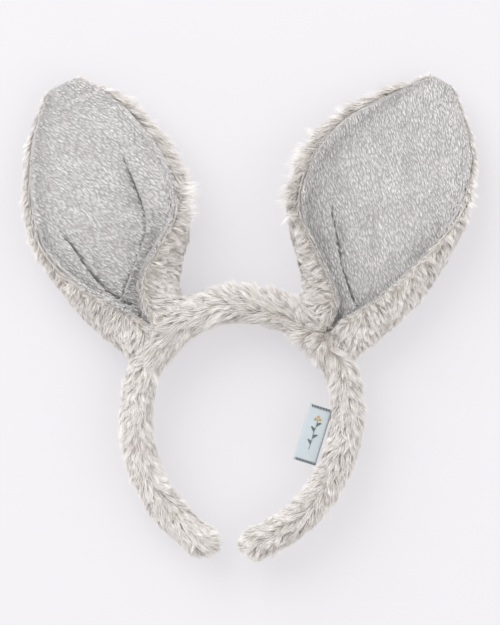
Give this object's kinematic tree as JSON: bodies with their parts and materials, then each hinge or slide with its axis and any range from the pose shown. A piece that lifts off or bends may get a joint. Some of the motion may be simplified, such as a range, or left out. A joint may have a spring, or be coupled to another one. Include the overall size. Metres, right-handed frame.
{
  "type": "animal ears headband",
  "caption": "Fur-covered padded alice band with cupped plush-lined bunny ears that tilt, springy arms that open, and a small folded label.",
  "frame": {"origin": "centre of the band's top arc, which is the middle of the opening that the head fills", "axes": "upright as worn: +Z towards the ear tips, -Y is the front, where the ear linings show, +X to the right seen from the front"},
  "size_m": [0.2756, 0.0323, 0.2941],
  "materials": {
    "faux_fur": "shaggy warm grey faux fur",
    "plush_lining": "short-pile cool grey plush",
    "wadding": "off-white polyester wadding",
    "interlining": "stiff off-white felt",
    "spring_plastic": "moulded translucent white plastic",
    "rim_wire": "drawn steel wire",
    "seam_thread": "matte grey sewing thread",
    "label_satin": "pale blue-grey woven satin",
    "label_thread": "dark grey overlock thread"
  },
  "bodies": {
    "crown": {"crown_spring": "spring_plastic", "crown_wadding": "wadding", "crown_fur_sleeve": "faux_fur", "crown_seam_stitches": "seam_thread"},
    "left_arm": {"left_arm_spring": "spring_plastic", "left_arm_wadding": "wadding", "left_arm_fur_sleeve": "faux_fur", "left_arm_seam_stitches": "seam_thread"},
    "right_arm": {"right_arm_spring": "spring_plastic", "right_arm_wadding": "wadding", "right_arm_fur_sleeve": "faux_fur", "right_arm_seam_stitches": "seam_thread"},
    "left_ear": {"left_ear_fur_back": "faux_fur", "left_ear_stiffener": "interlining", "left_ear_wire": "rim_wire", "left_ear_lining": "plush_lining", "left_ear_root_stitches": "seam_thread"},
    "right_ear": {"right_ear_fur_back": "faux_fur", "right_ear_stiffener": "interlining", "right_ear_wire": "rim_wire", "right_ear_lining": "plush_lining", "right_ear_root_stitches": "seam_thread"},
    "label": {"label_tape": "label_satin", "label_end_stitches": "label_thread", "label_seam_stitches": "seam_thread"}
  },
  "joints": [
    {"name": "left_arm_flex", "type": "hinge", "parent": "crown", "child": "left_arm", "pos_m": [-0.05967, 0, 0.02172], "axis": [0, 1, 0], "range_deg": [-4, 25], "stiffness_Nm_per_rad": 0.6},
    {"name": "right_arm_flex", "type": "hinge", "parent": "crown", "child": "right_arm", "pos_m": [0.05967, 0, 0.02172], "axis": [0, -1, 0], "range_deg": [-4, 25], "stiffness_Nm_per_rad": 0.6},
    {"name": "left_ear_tilt", "type": "hinge", "parent": "crown", "child": "left_ear", "pos_m": [-0.04568, 0, 0.04411], "axis": [0.6947, 0, 0.7193], "range_deg": [-40, 40], "stiffness_Nm_per_rad": 0.2},
    {"name": "right_ear_tilt", "type": "hinge", "parent": "crown", "child": "right_ear", "pos_m": [0.04568, 0, 0.04411], "axis": [0.6947, 0, -0.7193], "range_deg": [-40, 40], "stiffness_Nm_per_rad": 0.2},
    {"name": "label_flap", "type": "hinge", "parent": "right_arm", "child": "label", "pos_m": [0.05521, 0, 0.00103], "axis": [0.2957, 0, 0.9553], "range_deg": [-70, 70], "stiffness_Nm_per_rad": 0.001}
  ]
}
